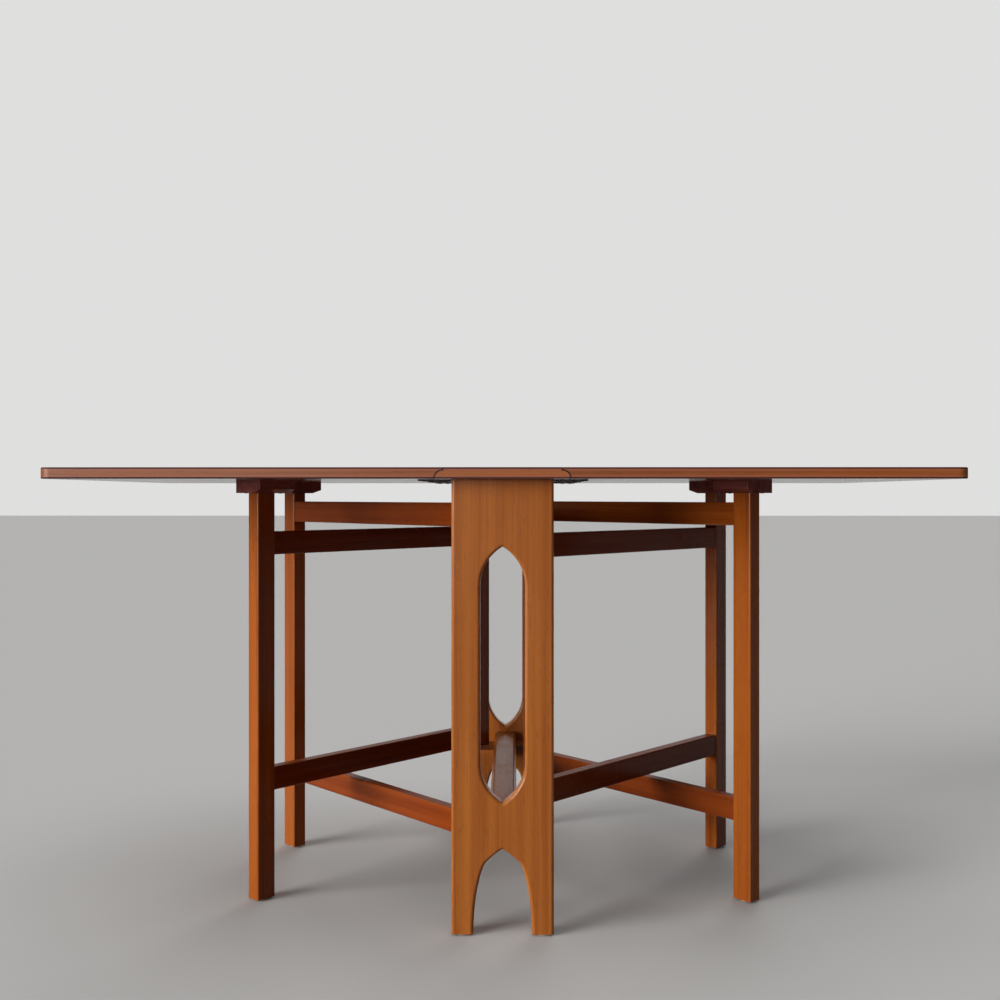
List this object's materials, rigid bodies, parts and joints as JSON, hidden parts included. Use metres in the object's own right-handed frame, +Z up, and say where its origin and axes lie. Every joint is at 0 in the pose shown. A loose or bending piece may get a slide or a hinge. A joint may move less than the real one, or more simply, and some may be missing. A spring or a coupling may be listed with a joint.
{
  "type": "drop-leaf gateleg table",
  "caption": "Drop-leaf table with a fixed centre top, pierced end panels, and crossing gate legs that swing out to hold its leaves level.",
  "frame": {"origin": "on the floor under the middle of the table", "axes": "+X along the open leaves, +Y from the front end panel to the rear one, +Z up"},
  "size_m": [1.454, 0.75, 0.74],
  "materials": {
    "top_wood": "satin lacquer",
    "frame_wood": "satin lacquer",
    "gate_wood": "satin lacquer",
    "hinge_steel": "dark bronzed steel",
    "pin_steel": "plain steel",
    "screw_steel": "dark steel",
    "glide_plastic": "matte"
  },
  "bodies": {
    "frame": {"centre_top": "top_wood", "front_lower_pivot_board": "frame_wood", "front_panel": "frame_wood", "front_panel_glides": "glide_plastic", "front_top_cleat": "frame_wood", "front_upper_pivot_board": "frame_wood", "left_front_gate_pivot_pins": "pin_steel", "left_hinge_fixed_flaps": "hinge_steel", "left_hinge_pins": "pin_steel", "left_rear_gate_pivot_pins": "pin_steel", "lower_stretcher": "frame_wood", "rear_lower_pivot_board": "frame_wood", "rear_panel": "frame_wood", "rear_panel_glides": "glide_plastic", "rear_top_cleat": "frame_wood", "rear_upper_pivot_board": "frame_wood", "right_front_gate_pivot_pins": "pin_steel", "right_hinge_fixed_flaps": "hinge_steel", "right_hinge_pins": "pin_steel", "right_rear_gate_pivot_pins": "pin_steel", "upper_stretcher": "frame_wood"},
    "left_front_gate": {"left_front_gate_leg": "gate_wood", "left_front_gate_lower_rail": "gate_wood", "left_front_gate_upper_rail": "gate_wood", "left_front_leg_glide": "glide_plastic"},
    "left_leaf": {"left_hinge_leaf_flaps": "hinge_steel", "left_leaf": "top_wood", "left_leaf_front_bearer": "frame_wood", "left_leaf_rear_bearer": "frame_wood"},
    "left_rear_gate": {"left_rear_gate_leg": "gate_wood", "left_rear_gate_lower_rail": "gate_wood", "left_rear_gate_stile": "gate_wood", "left_rear_gate_upper_rail": "gate_wood", "left_rear_leg_glide": "glide_plastic"},
    "right_front_gate": {"right_front_gate_leg": "gate_wood", "right_front_gate_lower_rail": "gate_wood", "right_front_gate_stile": "gate_wood", "right_front_gate_upper_rail": "gate_wood", "right_front_leg_glide": "glide_plastic"},
    "right_leaf": {"right_hinge_leaf_flaps": "hinge_steel", "right_leaf": "top_wood", "right_leaf_front_bearer": "frame_wood", "right_leaf_rear_bearer": "frame_wood"},
    "right_rear_gate": {"right_rear_gate_leg": "gate_wood", "right_rear_gate_lower_rail": "gate_wood", "right_rear_gate_upper_rail": "gate_wood", "right_rear_leg_glide": "glide_plastic"}
  },
  "joints": [
    {"name": "left_rear_gate_swing", "type": "hinge", "parent": "frame", "child": "left_rear_gate", "pos_m": [-0.052, 0.262, 0.41], "axis": [0, 0, 1], "range_deg": [0, 40.6]},
    {"name": "left_front_gate_swing", "type": "hinge", "parent": "frame", "child": "left_front_gate", "pos_m": [-0.052, -0.262, 0.41], "axis": [0, 0, -1], "range_deg": [0, 40.6]},
    {"name": "right_front_gate_swing", "type": "hinge", "parent": "frame", "child": "right_front_gate", "pos_m": [0.052, -0.262, 0.41], "axis": [0, 0, 1], "range_deg": [0, 40.6]},
    {"name": "right_rear_gate_swing", "type": "hinge", "parent": "frame", "child": "right_rear_gate", "pos_m": [0.052, 0.262, 0.41], "axis": [0, 0, -1], "range_deg": [0, 40.6]},
    {"name": "left_leaf_lift", "type": "hinge", "parent": "frame", "child": "left_leaf", "pos_m": [-0.093, 0, 0.722], "axis": [0, 1, 0], "range_deg": [0, 2]},
    {"name": "right_leaf_lift", "type": "hinge", "parent": "frame", "child": "right_leaf", "pos_m": [0.093, 0, 0.722], "axis": [0, -1, 0], "range_deg": [0, 2]}
  ]
}
